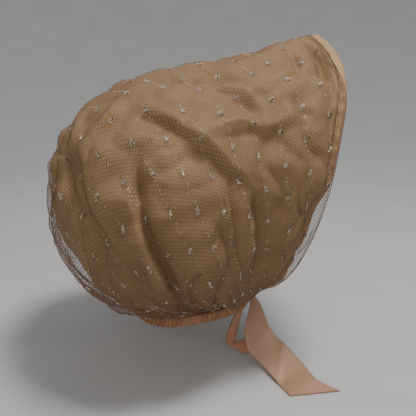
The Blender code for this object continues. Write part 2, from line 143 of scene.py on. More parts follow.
# A fold's line is given by (way round a hoop, hoop's share). Where it leans, its side is steep
# to the left of the line (1) or to the right (-1), as one looks along it from outside.
Fold = namedtuple("Fold", "line depth width crisp lean")
FOLDS = (
    # Right side, as the photograph shows it
    Fold(((-0.26, 0.52), (-0.278, 0.488), (-0.308, 0.46), (-0.34, 0.434), (-0.39, 0.392),
          (-0.45, 0.342), (-0.504, 0.288), (-0.524, 0.204), (-0.53, 0.13)),
         0.0170, 0.0120, 0.6, -0.6),
    Fold(((-0.52, 0.12), (-0.50, 0.26), (-0.46, 0.32), (-0.38, 0.385)), 0.0090, 0.0040, 0.8, 0.0),
    Fold(((-0.274, 0.470), (-0.318, 0.428), (-0.374, 0.380), (-0.432, 0.330)),
         -0.0035, 0.0045, 0.8, 0.0),
    Fold(((-0.16, 0.54), (-0.185, 0.568), (-0.23, 0.592), (-0.28, 0.603), (-0.33, 0.618),
          (-0.39, 0.638), (-0.44, 0.662), (-0.48, 0.678)), 0.0110, 0.0220, 0.2, 0.9),
    Fold(((-0.176, 0.562), (-0.184, 0.580), (-0.22, 0.606), (-0.264, 0.616), (-0.302, 0.628),
          (-0.332, 0.644), (-0.39, 0.658), (-0.428, 0.678), (-0.472, 0.694)),
         -0.0058, 0.0048, 0.9, 0.0),
    Fold(((-0.25, 0.52), (-0.262, 0.55), (-0.262, 0.585)), 0.0050, 0.0100, 0.4, -0.6),
    Fold(((-0.30, 0.12), (-0.28, 0.30), (-0.21, 0.35), (-0.15, 0.40), (-0.10, 0.42)),
         0.0120, 0.0110, 0.5, -0.7),
    Fold(((-0.24, 0.14), (-0.20, 0.30), (-0.118, 0.382), (-0.032, 0.42)),
         0.0070, 0.0080, 0.6, -0.5),
    Fold(((-0.40, 0.14), (-0.40, 0.22), (-0.38, 0.28), (-0.32, 0.32)), 0.0080, 0.0120, 0.4, 0.6),
    Fold(((-0.40, 0.30), (-0.34, 0.32), (-0.28, 0.34), (-0.22, 0.37)), -0.0026, 0.0050, 0.9, 0.0),
    Fold(((-0.18, 0.195), (-0.26, 0.235), (-0.358, 0.266), (-0.41, 0.16)),
         0.0060, 0.0120, 0.3, 0.8),
    Fold(((-0.80, 0.46), (-0.724, 0.600), (-0.61, 0.672), (-0.538, 0.684), (-0.475, 0.690)),
         0.0145, 0.0140, 0.5, 0.6),
    Fold(((-0.304, 0.644), (-0.292, 0.668), (-0.280, 0.710), (-0.288, 0.734), (-0.316, 0.760),
          (-0.306, 0.80), (-0.302, 0.84)), -0.0030, 0.0045, 0.9, 0.0),
    Fold(((-0.325, 0.650), (-0.325, 0.690), (-0.322, 0.730), (-0.345, 0.762), (-0.340, 0.80),
          (-0.335, 0.84)), 0.0115, 0.0240, 0.2, 0.9),
    Fold(((-0.165, 0.70), (-0.165, 0.735), (-0.20, 0.755), (-0.26, 0.765)),
         -0.0035, 0.0050, 0.9, 0.0),
    Fold(((-0.17, 0.69), (-0.195, 0.725), (-0.235, 0.742), (-0.275, 0.752)),
         0.0090, 0.0170, 0.3, 0.9),
    Fold(((-0.02, 0.61), (-0.065, 0.650), (-0.100, 0.685), (-0.130, 0.715), (-0.170, 0.745)),
         0.0110, 0.0200, 0.2, 0.8),
    Fold(((-0.084, 0.904), (-0.12, 0.895), (-0.18, 0.875)), 0.0095, 0.0055, 0.7, 0.5),
    Fold(((-0.05, 0.94), (-0.11, 0.950), (-0.16, 0.952), (-0.21, 0.950), (-0.28, 0.955)),
         0.0140, 0.0085, 0.4, 0.6),
    Fold(((-0.36, 0.86), (-0.412, 0.892), (-0.432, 0.946)), 0.0040, 0.0070, 0.6, 0.4),
    Fold(((-0.498, 0.832), (-0.562, 0.848), (-0.58, 0.88)), 0.0065, 0.0060, 0.7, 0.5),
    Fold(((-0.57, 0.86), (-0.61, 0.84), (-0.66, 0.78)), -0.0030, 0.0060, 0.7, 0.0),
    Fold(((-0.58, 0.14), (-0.56, 0.30), (-0.58, 0.40)), 0.0095, 0.0070, 0.7, 0.4),
    Fold(((-0.572, 0.05), (-0.568, 0.10), (-0.560, 0.17)), 0.0150, 0.0060, 0.6, 0.0),
    Fold(((-0.620, 0.05), (-0.612, 0.10), (-0.600, 0.18)), 0.0130, 0.0055, 0.6, 0.0),
    Fold(((-0.46, 0.05), (-0.452, 0.10), (-0.43, 0.16)), 0.0090, 0.0055, 0.6, 0.0),
    Fold(((-0.66, 0.16), (-0.65, 0.32), (-0.64, 0.42)), 0.0095, 0.0070, 0.7, 0.4),
    Fold(((-0.71, 0.50), (-0.60, 0.575), (-0.50, 0.615), (-0.45, 0.63)), 0.0060, 0.0100, 0.4, 0.8),
    Fold(((-0.69, 0.44), (-0.60, 0.52), (-0.49, 0.57)), 0.0050, 0.0090, 0.4, 0.6),
    Fold(((-0.02, 0.42), (-0.08, 0.385), (-0.13, 0.355), (-0.16, 0.25)), 0.0060, 0.0100, 0.4, 0.5),
    Fold(((-0.22, 0.84), (-0.29, 0.86), (-0.33, 0.90)), 0.0040, 0.0110, 0.4, 0.8),
    Fold(((-0.43, 0.74), (-0.50, 0.78), (-0.60, 0.76)), 0.0050, 0.0120, 0.4, 0.6),
    Fold(((-0.22, 0.50), (-0.29, 0.52), (-0.36, 0.50)), 0.0030, 0.0130, 0.3, 0.7),
    # Left side, which the photograph doesn't show
    Fold(((0.50, 0.14), (0.46, 0.32), (0.38, 0.44), (0.30, 0.56)), 0.0140, 0.0110, 0.6, -0.3),
    Fold(((0.80, 0.40), (0.70, 0.58), (0.62, 0.65), (0.54, 0.70)), 0.0115, 0.0130, 0.5, -0.6),
    Fold(((0.25, 0.12), (0.22, 0.26), (0.14, 0.44)), 0.0090, 0.0120, 0.5, 0.5),
    Fold(((0.65, 0.18), (0.63, 0.34), (0.62, 0.48)), 0.0075, 0.0090, 0.6, -0.4),
    Fold(((0.40, 0.14), (0.38, 0.26), (0.30, 0.36)), 0.0060, 0.0100, 0.4, -0.5),
    Fold(((0.26, 0.62), (0.34, 0.64), (0.44, 0.70)), -0.0034, 0.0060, 0.9, 0.0),
    Fold(((0.34, 0.64), (0.36, 0.72), (0.34, 0.84)), 0.0075, 0.0170, 0.3, -0.8),
    Fold(((0.22, 0.70), (0.20, 0.78), (0.26, 0.84)), -0.0028, 0.0060, 0.9, 0.0),
    Fold(((0.16, 0.56), (0.24, 0.60), (0.33, 0.58)), 0.0060, 0.0160, 0.3, -0.8),
    Fold(((0.08, 0.90), (0.18, 0.87)), 0.0050, 0.0060, 0.6, 0.0),
    Fold(((0.06, 0.95), (0.14, 0.96), (0.27, 0.966)), 0.0060, 0.0062, 0.4, 0.0),
    Fold(((0.50, 0.80), (0.56, 0.86)), 0.0055, 0.0070, 0.6, -0.4),
    Fold(((0.58, 0.16), (0.56, 0.30), (0.57, 0.40)), 0.0065, 0.0065, 0.6, 0.0),
    # Over the nape and along the top
    Fold(((0.03, 0.12), (0.01, 0.26), (-0.02, 0.42)), 0.0085, 0.0110, 0.5, 0.4),
    Fold(((0.12, 0.12), (0.11, 0.24), (0.08, 0.32)), 0.0060, 0.0080, 0.5, 0.0),
    Fold(((0.00, 0.56), (0.00, 0.88)), 0.0030, 0.0450, 0.0, 0.0),
)
LINE_STEPS = 4
ROWS_CLOSER = 1.15          # over 1, the mesh's rows are closer near the casing
STEEPNESS = 0.72            # how much narrower a leaning fold is on its steep side
FADED = 0.3                 # of a fold's depth is left at its two ends
FADE_ALONG = 0.3
Crumple = namedtuple("Crumple", "size depth shift")
CRUMPLES = (                # from broad pillows to small creases
    Crumple(0.052, -0.0040, 0.0),
    Crumple(0.030, 0.0030, 3.1),
    Crumple(0.0110, -0.0006, 7.7),
)


def eased(value, low, high):
    part = np.clip((value - low) / (high - low), 0, 1)
    return part * part * (3 - 2 * part)


def curve_through(keys, values, at):
    """The values at places on the smooth curve through (key, value) pairs."""
    keys, values = np.asarray(keys, float), np.asarray(values, float)
    last = len(keys) - 1
    before = np.maximum(np.arange(last + 1) - 1, 0)
    after = np.minimum(np.arange(last + 1) + 1, last)
    slope = (values[after] - values[before]) / (keys[after] - keys[before])
    k = np.clip(np.searchsorted(keys, at, side="right") - 1, 0, last - 1)
    step = keys[k + 1] - keys[k]
    u = (at - keys[k]) / step
    return ((2 * u**3 - 3 * u**2 + 1) * values[k] + (u**3 - 2 * u**2 + u) * step * slope[k]
            + (3 * u**2 - 2 * u**3) * values[k + 1] + (u**3 - u**2) * step * slope[k + 1])


def form(way_round, share):
    """Points of the bonnet's smooth outer form."""
    way_round, share = np.broadcast_arrays(np.asarray(way_round, float), share)
    keys = [hoop.share for hoop in HOOPS]
    hoop = Hoop(*(curve_through(keys, column, share) for column in zip(*HOOPS)))
    turn = np.abs(way_round) * np.radians(hoop.end_turn)
    pointed = np.maximum(1 - turn / PEAK_TURN, 0) ** PEAK_SHARPNESS * PEAK_RISE * hoop.peak
    up = ((1 + np.cos(turn)) / 2 + pointed) / (1 + PEAK_RISE * hoop.peak)
    out = np.sin(turn) * (1 + EGG * np.cos(turn))
    out *= 1 + hoop.jowl * np.maximum(-np.cos(turn), 0) ** JOWL_SHARPNESS
    height = hoop.end_z + (hoop.top_z - hoop.end_z) * up + hoop.side_lift * np.sin(turn) ** 2
    part = np.minimum(np.abs(way_round) / SWAY_REACH, 1)
    forward = SWAY * np.sin(2 * pi * part) * np.sin(pi * part) * eased(share, SWAY_SHARE, 1)
    return np.stack([np.sign(way_round) * hoop.half_width * out,
                     hoop.end_y + (hoop.top_y - hoop.end_y) * up - forward,
                     height + floor_level], axis=-1)


def directions(way_round, share):
    """Unit vectors of the form: onwards round a hoop, towards the rim, and outwards."""
    step = 0.004
    onwards = (form(np.minimum(way_round + step, 1), share)
               - form(np.maximum(way_round - step, -1), share))
    rimwards = (form(way_round, np.minimum(share + step, 1))
                - form(way_round, np.maximum(share - step, 0)))
    outwards = np.cross(rimwards, onwards)
    return [v / np.linalg.norm(v, axis=-1, keepdims=True) for v in (onwards, rimwards, outwards)]


def fold_depths(points, fold):
    """How deep one fold is at each point, by the distance to the fold's line."""
    places = np.linspace(0, len(fold.line) - 1, (len(fold.line) - 1) * LINE_STEPS + 1)
    rounds, shares = (curve_through(range(len(fold.line)), column, places)
                      for column in zip(*fold.line))
    line, outwards = form(rounds, shares), directions(rounds, shares)[2]
    nearest = np.full(len(points), 1.0)
    along = np.zeros(len(points))
    left = np.zeros(len(points))
    for k in range(len(line) - 1):
        a, run = line[k], line[k + 1] - line[k]
        part = np.clip((points - a) @ run / (run @ run), 0, 1)
        away = points - a - part[:, None] * run
        gap = np.linalg.norm(away, axis=1)
        closer = gap < nearest
        leftwards = np.cross(outwards[k], run)
        nearest = np.where(closer, gap, nearest)
        along = np.where(closer, (k + part) / (len(line) - 1), along)
        left = np.where(closer, away @ leftwards / np.linalg.norm(leftwards), left)
    fade = eased(along, 0, FADE_ALONG) * (1 - eased(along, 1 - FADE_ALONG, 1))
    fade = FADED + (1 - FADED) * fade
    steep = eased(left * np.sign(fold.lean), -0.15 * fold.width, 0.15 * fold.width)
    reach = nearest / (fold.width * (1 - STEEPNESS * abs(fold.lean) * steep))
    soft, sharp = np.exp(-reach**2), np.exp(-1.7 * reach)
    return fold.depth * fade * ((1 - fold.crisp) * soft + fold.crisp * sharp)


def creases(points, crumple):
    """Sharp ridges or creases of crumpled satin with rounded hollows between them."""
    return crumple.depth * np.array([1 - 2.2 * abs(noise.noise(Vector(p)))
                                     for p in points / crumple.size + crumple.shift])


def cheek(way_round):
    """From 0 to 1 where the net comes out past the hem, beside the cheeks."""
    beside = np.abs(way_round)
    return eased(beside, *SATIN_CHEEK) * (1 - eased(beside, *SATIN_CHEEK_END))


def sunk(way_round, share):
    """How far inside the smooth form the satin lies, and how far the net."""
    points = form(way_round, share)
    drift = GATHER_DRIFT * np.sin(GATHER_DRIFT_RATE * way_round)
    wave = np.abs(np.sin((pi * GATHERS * (way_round + 1) + drift) / 2)) ** 4
    fullness = share / GATHER_FULLEST
    large = GATHER_DEPTH * wave * np.maximum(fullness, 0) * np.exp(1 - fullness)
    large = large + sum(fold_depths(points, fold) for fold in FOLDS) * eased(share, *FOLDS_FREE)
    ends = 1 - eased(np.abs(way_round), *FLAT_ENDS)
    uneven = 2.0 * np.sin(9 * way_round) + 1.1 * np.sin(31 * way_round + 1)
    fine = np.abs(np.sin((pi * FINE_GATHERS * way_round + uneven) / 2)) ** 1.5
    fine = FINE_GATHER_DEPTH * fine * (1 - eased(share, 0.02, FINE_GATHERS_END))
    fine = fine * (FINE_GATHERS_HELD + (1 - FINE_GATHERS_HELD) * eased(share, *CLOTH_FREE))
    inner = eased(share, *CREASED) * (1 - eased(share, *CREASED_END))
    crumpled = inner * sum(creases(points, crumple) for crumple in CRUMPLES)
    lift = np.exp(-(((share - BALLOON_SHARE) / BALLOON_REACH) ** 2)) * eased(share, *CLOTH_FREE)
    gap = NET_CLEARANCE + BALLOON * lift * (1 - eased(np.abs(way_round), *BALLOON_SIDES))
    gap = gap + ROLL_IN * cheek(way_round) * eased(share, *ROLL_SHARES)
    held = 1 - NET_SMOOTHED * lift
    net = (NET_FOLLOWS * large + held * (crumpled + 0.5 * fine)) * ends
    satin = NET_THICKNESS + gap + (large + crumpled + fine) * ends
    return np.maximum(satin, net + NET_THICKNESS), net


def share_near(way_round, edge_share, distance):
    """The share of the hoop that runs a distance in from the casing or from the rim."""
    step = 0.04 if edge_share == 0 else -0.04
    run = np.linalg.norm(form(way_round, edge_share + step) - form(way_round, edge_share), axis=-1)
    return edge_share + distance * step / run


def casing_edge(way_round):
    """The share at which the cloth meets the casing."""
    return share_near(way_round, 0, EDGE_ABOVE_CASING * (1 + 3 * eased(np.abs(way_round), 0.75, 1)))


def hem_edges(way_round):
    """How far the hem's two edges lie from the rim of the form."""
    back = SATIN_BACK * cheek(way_round)
    return back, back + HEM_WIDTH * (1 - HEM_TAPER * eased(np.abs(way_round), *HEM_TAPERS))


def satin_places(across, up):
    way_round = 2 * across - 1
    start = casing_edge(way_round)
    end = share_near(way_round, 1, hem_edges(way_round)[1] + HEM_GAP)
    share = start + (end - start) * up ** ROWS_CLOSER
    inward, _ = sunk(way_round, share)
    return form(way_round, share) - directions(way_round, share)[2] * inward[:, None]


def linear(code):
    """A Blender colour from an sRGB hex code."""
    parts = [int(code[k:k + 2], 16) / 255 for k in (1, 3, 5)]
    return [p / 12.92 if p <= 0.04045 else ((p + 0.055) / 1.055) ** 2.4 for p in parts] + [1]


def add_node(material, kind, settings, links=()):
    """A node with its settings (sockets or properties) and its links as (socket, output)."""
    node = material.node_tree.nodes.new("ShaderNode" + kind)
    for key, value in settings.items():
        if isinstance(key, int) or key in node.inputs:
            node.inputs[key].default_value = value
        else:
            setattr(node, key, value)
    for socket, output in links:
        material.node_tree.links.new(node.inputs[socket], output)
    return node


def new_material(name, colour, **sockets):
    """A material with its shader's plain values, named as sockets with _ for spaces."""
    material = bpy.data.materials.new(name)
    material.use_nodes = True
    shader = material.node_tree.nodes["Principled BSDF"]
    shader.inputs["Base Color"].default_value = linear(colour)
    for key, value in sockets.items():
        shader.inputs[key.replace("_", " ")].default_value = value
    return material, shader


def woven_satin(material, shader, dark, light, patch, slub, slub_depth):
    """Colour in patches, and slubs of thicker thread that run along the cloth's UVs."""
    place = add_node(material, "TexCoord", {})
    cloth = add_node(material, "UVMap", {"uv_map": "cloth"})
    patches = add_node(material, "TexNoise", {"Scale": 1 / patch, "Detail": 4.0},
                       [("Vector", place.outputs["Object"])])
    worn = add_node(material, "Mix", {"data_type": "RGBA", 6: linear(dark), 7: linear(light)},
                    [("Factor", patches.outputs["Fac"])])
    threads = add_node(material, "Mapping", {"Scale": slub}, [("Vector", cloth.outputs[0])])
    slubs = add_node(material, "TexNoise", {"Scale": 1.0, "Detail": 3.0},
                     [("Vector", threads.outputs[0])])
    gloss = add_node(material, "MapRange", {"From Min": 0.35, "From Max": 0.65, "To Min": 0.42,
                                            "To Max": 0.58}, [("Value", slubs.outputs["Fac"])])
    relief = add_node(material, "Bump", {"Strength": 1.0, "Distance": slub_depth},
                      [("Height", slubs.outputs["Fac"])])
    material.node_tree.links.new(shader.inputs["Roughness"], gloss.outputs[0])
    material.node_tree.links.new(shader.inputs["Normal"], relief.outputs[0])
    material.node_tree.links.new(shader.inputs["Base Color"], worn.outputs[2])
    return cloth, patches, worn


def cloth_grid(name, columns, rows, place, material, closed=False):
    """A flat grid laid where place puts it, its flat position kept as UVs."""
    sheet = bmesh.new()
    bmesh.ops.create_grid(sheet, x_segments=columns, y_segments=rows, size=0.5)
    flat = np.array([v.co[:2] for v in sheet.verts]) + 0.5
    uv = sheet.loops.layers.uv.new("cloth")
    for face in sheet.faces:
        for loop in face.loops:
            loop[uv].uv = (loop.vert.co.x + 0.5, 0.5 - loop.vert.co.y)
    for vertex, point in zip(sheet.verts, place(flat[:, 0], 1 - flat[:, 1])):
        vertex.co = point
    if closed:
        bmesh.ops.remove_doubles(sheet, verts=sheet.verts, dist=1e-6)
    return finished(name, sheet, material)


def finished(name, sheet, *materials):
    """The named object of a bmesh."""
    mesh = bpy.data.meshes.new(name)
    sheet.to_mesh(mesh)
    sheet.free()
    mesh.shade_smooth()
    for material in materials:
        mesh.materials.append(material)
    piece = bpy.data.objects.new(name, mesh)
    bpy.context.scene.collection.objects.link(piece)
    return piece


def thicken(piece, thickness):
    wall = piece.modifiers.new("thickness", "SOLIDIFY")
    wall.thickness = thickness
    wall.offset = -1
    return piece


# Acetate satin: a soft lustre that runs along the floating threads, here drawn as slubs 1.5 mm
# apart because the real threads are too fine to show. The casing's dye has bled up into the
# gathers as a rusty tinge.
SATIN_LIGHT = "#b5976f"
SATIN_DARK = "#977a57"
SATIN_BLED = "#a8573c"
satin, shader = new_material("taupe_acetate_satin", SATIN_LIGHT, Anisotropic=0.3,
                             Specular_IOR_Level=0.3, Specular_Tint=linear("#e8cfae"))
cloth, patches, worn = woven_satin(satin, shader, SATIN_DARK, SATIN_LIGHT, 0.045,
                                   (HALF_RIM * 2 / 0.0015, LONGEST / 0.012, 1), 0.00012)
across = add_node(satin, "SeparateXYZ", {}, [(0, cloth.outputs[0])])
ragged = add_node(satin, "Math", {"operation": "MULTIPLY_ADD", 1: 0.14},
                  [(0, patches.outputs["Fac"]), (2, across.outputs["Y"])])
bleeding = add_node(satin, "MapRange", {"From Min": 0.06, "From Max": 0.23, "To Min": 0.85,
                                        "To Max": 0.0}, [("Value", ragged.outputs[0])])
bled = add_node(satin, "Mix", {"data_type": "RGBA", 7: linear(SATIN_BLED)},
                [("Factor", bleeding.outputs[0]), (6, worn.outputs[2])])
satin.node_tree.links.new(shader.inputs["Base Color"], bled.outputs[2])

CROWN_GRID = (296, 156)
crown = cloth_grid("satin_crown_cloth", *CROWN_GRID, satin_places, satin)
thicken(crown, SATIN_THICKNESS)
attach(crown, "root")
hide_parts("satin_crown")

# Net cover. Bobbinet of fine brown yarn, cut as the satin is and caught with it in the hem
# and in the casing. It stands off the satin above the nape and comes out to the rim at the
# cheeks.
NET_PITCH = 0.00335         # across a cell
THREAD_HALF_WIDTH = 0.00029
THREAD_DEPTH = 0.00024
NET_SHORT = 0.0115          # from the rim to the net's edge, over the forehead
NET_CHEEK = (0.14, 0.32)
ROUND_KEYS = np.linspace(-1, 1, 241)
DISTANCES = np.arange(0, 0.62, 0.004)   # from the net's edge at the rim, over the cloth


def net_short(way_round):
    return NET_SHORT * (1 - eased(np.abs(way_round), *NET_CHEEK))


def measured_cloth():
    """The shares at even flat distances from the net's edge, and each meridian's flat length.
    The net is drawn together along the shorter meridians, so more of it lies there."""
    shares_at, reaches = [], []
    for way_round in ROUND_KEYS:
        edge = share_near(way_round, 1, net_short(way_round))
        shares = np.linspace(edge, casing_edge(way_round), 97)
        line = form(way_round, shares)
        run = np.append(0, np.cumsum(np.linalg.norm(np.diff(line, axis=0), axis=1)))
        run *= (LONGEST / run[-1]) ** 0.5
        shares_at.append(np.interp(DISTANCES, run, shares))
        reaches.append(run[-1])
    return np.array(shares_at), np.array(reaches)


SHARES_AT, REACHES = measured_cloth()


def net_reach(x):
    return np.interp(x / HALF_RIM, ROUND_KEYS, REACHES)


def net_shares(x, y):
    """Way round and share at a flat place: x along the rim from its middle, y from the edge."""
    way_round = np.clip(x / HALF_RIM, -1, 1)
    row = (way_round + 1) / 2 * (len(ROUND_KEYS) - 1)
    column = np.clip(y / DISTANCES[1], 0, len(DISTANCES) - 1.001)
    i = np.clip(row.astype(int), 0, len(ROUND_KEYS) - 2)
    j = column.astype(int)
    a, b = row - i, column - j
    low = SHARES_AT[i, j] * (1 - b) + SHARES_AT[i, j + 1] * b
    high = SHARES_AT[i + 1, j] * (1 - b) + SHARES_AT[i + 1, j + 1] * b
    return way_round, low * (1 - a) + high * a


def net_places(x, y, lift=0.0):
    way_round, share = net_shares(x, y)
    _, inward = sunk(way_round, share)
    return form(way_round, share) - directions(way_round, share)[2] * (inward - lift)[:, None]


laid = {}


def laid_once(x, y):
    """Both panels are cells of one grid, so its places are worked out once."""
    if not laid:
        laid["net"] = net_places(x, y)
    return laid["net"]


def bobbinet(name, width, length, place, keep, material):
    """A net of hexagons: a grid whose every second upright is dissolved like a brick wall's,
    laid by place, and each cell then inset and emptied, which leaves ridged threads."""
    edge = NET_PITCH / 3 ** 0.5
    columns = 2 * round(width / NET_PITCH)
    rows = int(length / (1.5 * edge)) + 2
    sheet = bmesh.new()
    bmesh.ops.create_grid(sheet, x_segments=columns, y_segments=rows, size=0.5)
    flat = np.array([v.co[:2] for v in sheet.verts]) + 0.5
    i, j = np.rint(flat * (columns, rows)).astype(int).T
    uprights = []
    for line in sheet.edges:
        a, b = (v.index for v in line.verts)
        if i[a] == i[b] and 0 < i[a] < columns and (i[a] + min(j[a], j[b])) % 2:
            uprights.append(line)
    bmesh.ops.dissolve_edges(sheet, edges=uprights, use_verts=False)
    x = (i / columns - 0.5) * width
    y = j * 1.5 * edge + np.where((i + j) % 2, -edge / 4, edge / 4)
    spare = []
    for cell in sheet.faces:
        corners = [v.index for v in cell.verts]
        if not keep(x[corners].mean(), y[corners].mean()):
            spare.append(cell)
    for vertex, point in zip(sheet.verts, place(x, y)):
        vertex.co = point
    bmesh.ops.delete(sheet, geom=spare, context="FACES")
    cells = list(sheet.faces)
    bmesh.ops.inset_individual(sheet, faces=cells, thickness=THREAD_HALF_WIDTH,
                               depth=-THREAD_DEPTH, use_even_offset=True)
    bmesh.ops.delete(sheet, geom=cells, context="FACES_ONLY")
    return finished(name, sheet, material)


# Rayon yarn, dyed a pinkish brown: one even colour, dull, with a slight gloss on each thread.
yarn, _ = new_material("brown_rayon_yarn", "#7f604a", Roughness=0.6, Specular_IOR_Level=0.2)
panels = {}
for name, side in (("net_right", -1), ("net_left", 1)):
    panels[name] = bobbinet(
        name, 2 * HALF_RIM, LONGEST, laid_once,
        lambda x, y: side * x > (NET_PITCH / 8) * side and y < net_reach(x), yarn)
    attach(panels[name], "root")
    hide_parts("net_cover")

# Metal dots. A silver thread is floated through the net in a slanting grid: it bunches into a
# small star at each crossing and shows as specks on the way to the next. Half of its lengths
# are drawn in a dark brown metal.
FIRST_DOT = (-0.0835, 0.1875)   # along the rim, and from the net's edge
DOT_DOWN = (-0.0152, -0.0343)
DOT_ROUND = (-0.0200, 0.0275)
DOT_STRANDS = 22
DOT_RADIUS = 0.0032
SPECKS = 13
STRAND_RADIUS = 0.00021
Strand = namedtuple("Strand", "x y length angle tilt")


def dot_strands(x, y, chance):
    """The lengths of metal thread of one dot and of its specks, on the flat net."""
    for _ in range(DOT_STRANDS):
        away, angle = DOT_RADIUS * chance.random() ** 0.7, chance.uniform(0, 2 * pi)
        yield Strand(x + away * cos(angle), y + away * sin(angle), chance.uniform(0.0013, 0.0028),
                     angle + chance.gauss(0, 0.5), 0.5)
    for _ in range(SPECKS):
        part = chance.uniform(0.12, 0.88)
        yield Strand(x + part * (DOT_DOWN[0] + DOT_ROUND[0]) + chance.gauss(0, 0.0011),
                     y + part * (DOT_DOWN[1] + DOT_ROUND[1]) + chance.gauss(0, 0.0011),
                     chance.uniform(0.0006, 0.0013), chance.uniform(0, pi), 0.3)


def metal_dot(strands, placed, chance):
    """A mesh of thin rods: silver is its first material and dark brown its second."""
    rods = bmesh.new()
    for strand, (point, run, out) in zip(strands, placed):
        lying = Vector(run)
        lying.rotate(Matrix.Rotation(strand.angle, 3, Vector(out)))
        lying += Vector(out) * chance.uniform(-strand.tilt, strand.tilt)
        turn = lying.to_track_quat("Z", "Y").to_matrix().to_4x4()
        first = len(rods.faces)
        bmesh.ops.create_cone(rods, cap_ends=True, segments=3, radius1=STRAND_RADIUS,
                              radius2=STRAND_RADIUS, depth=strand.length,
                              matrix=Matrix.Translation(Vector(point)) @ turn)
        rods.faces.ensure_lookup_table()
        dark_strand = chance.random() < 0.5
        for face in rods.faces[first:]:
            face.material_index = int(dark_strand)
    dot = bpy.data.meshes.new("dot")
    rods.to_mesh(dot)
    rods.free()
    return dot


chance = random.Random(5)
stars = []
for i in range(-20, 26):
    for j in range(-26, 26):
        x = FIRST_DOT[0] + i * DOT_DOWN[0] + j * DOT_ROUND[0]
        y = FIRST_DOT[1] + i * DOT_DOWN[1] + j * DOT_ROUND[1]
        if abs(x) < HALF_RIM * 0.97 and 0.004 < y < net_reach(x) - 0.006:
            stars.append([s for s in dot_strands(x, y, chance)
                          if abs(s.x) < HALF_RIM and 0 < s.y < net_reach(s.x) - 0.002])
x, y = np.array([strand[:2] for star in stars for strand in star]).T
along, _, outwards = directions(*net_shares(x, y))
placed = zip(net_places(x, y, 0.0003), along, outwards)
metal = bmesh.new()
for star in stars:
    metal.from_mesh(metal_dot(star, placed, chance))
silver, _ = new_material("silver_lurex", "#fbf1de", Metallic=0.75, Roughness=0.3)
brown, _ = new_material("dark_brown_lurex", "#3b2b22", Metallic=0.8, Roughness=0.4)
dots = finished("metal_dots", metal, silver, brown)
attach(dots, "root")

# Net edge. Two lines of the yarn run along the net's free edge: its turned fold, and the seam
# that holds the fold.
EDGE_LINES = (("net_edge_fold", 0.0, 0.00045), ("net_edge_seam", 0.0034, 0.00034))
EDGE_COLUMNS = 420
EDGE_SIDES = 6


def edge_places(from_edge, radius):
    def places(across, round_it):
        x = (2 * across - 1) * HALF_RIM
        y = np.full_like(x, from_edge)
        _, rimwards, outwards = directions(*net_shares(x, y))
        angle = 2 * pi * round_it[:, None]
        return net_places(x, y) + radius * (rimwards * np.cos(angle) + outwards * np.sin(angle))
    return places


edge_lines = []
for name, from_edge, radius in EDGE_LINES:
    line = cloth_grid(name, EDGE_COLUMNS, EDGE_SIDES, edge_places(from_edge, radius), yarn,
                      closed=True)
    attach(line, "root")
    edge_lines.append(line)
for name, trim in (("net_right", [dots]), ("net_left", edge_lines)):
    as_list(trim)

# Front hem. A strip of the satin folded over the rim and sewn down with a running stitch, so
# that it puffs a little between its fold and its seam.
HEM_HALF_THICK = 0.0010
HEM_CLOTH = 0.0005
HEM_SEAM = 0.0076
HEM_PUFF = 0.0006
STITCH_PITCH = 0.0036
STITCH_LENGTH = 0.0022
STITCH_RADIUS = 0.00022
HEM_LEG = 0.42              # of the strip's width lies flat on either side of the fold
HEM_RIPPLE = 0.0005


def hem_surface(way_round, from_fold, rise):
    """Points of the hem at a distance in from its fold, raised from its middle."""
    outer, inner = hem_edges(way_round)
    share = share_near(way_round, 1, outer + from_fold)
    inward, _ = sunk(way_round, share)
    ripple = HEM_RIPPLE * np.sin(150 * way_round + 2 * np.sin(17 * way_round))
    depth = inward + HEM_HALF_THICK - rise + ripple * np.clip(from_fold / (inner - outer), 0, 1)
    return form(way_round, share) - directions(way_round, share)[2] * depth[:, None]


def hem_places(across, around):
    """Round the fold: from under the seam to the rim, and back over it."""
    way_round = 2 * across - 1
    outer, inner = hem_edges(way_round)
    leg = inner - outer - HEM_HALF_THICK
    turn = pi * np.clip((around - HEM_LEG) / (1 - 2 * HEM_LEG), 0, 1)
    flat = np.clip(1 - around / HEM_LEG, 0, 1) + np.clip(1 - (1 - around) / HEM_LEG, 0, 1)
    from_fold = HEM_HALF_THICK * (1 - np.sin(turn)) + leg * flat
    puff = HEM_PUFF * np.sin(pi * np.clip(from_fold / HEM_SEAM, 0, 1)) * (around > 0.5)
    return hem_surface(way_round, from_fold, puff - np.cos(turn) * HEM_HALF_THICK)


# The same acetate satin, worn paler than the crown's.
hem_satin, shader = new_material("folded_acetate_satin", "#ae8b68", Anisotropic=0.3,
                                 Specular_IOR_Level=0.3, Specular_Tint=linear("#e8cfae"))
woven_satin(hem_satin, shader, "#9c7c5b", "#b79470", 0.02,
            (2 * HALF_RIM / 0.0015, 4.0, 1), 0.00010)
HEM_GRID = (420, 24)
hem = cloth_grid("front_hem_band", *HEM_GRID, hem_places, hem_satin)
thicken(hem, HEM_CLOTH)

thread = bmesh.new()
places = np.arange(-0.94, 0.94, STITCH_PITCH / HALF_RIM)
ends = [hem_surface(places + k * STITCH_LENGTH / HALF_RIM / 2, np.full_like(places, HEM_SEAM),
                    HEM_HALF_THICK + 0.0001) for k in (-1, 1)]
for start, stop in zip(*ends):
    run = Vector(stop - start)
    turn = run.to_track_quat("Z", "Y").to_matrix().to_4x4()
    bmesh.ops.create_cone(thread, cap_ends=True, segments=6, radius1=STITCH_RADIUS,
                          radius2=STITCH_RADIUS, depth=run.length,
                          matrix=Matrix.Translation(Vector(start + stop) / 2) @ turn)
cotton, _ = new_material("tan_cotton_thread", "#8d6a4c", Roughness=0.7)
stitches = finished("hem_stitches", thread, cotton)
for piece in (hem, stitches):
    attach(piece, "root")
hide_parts("front_hem")

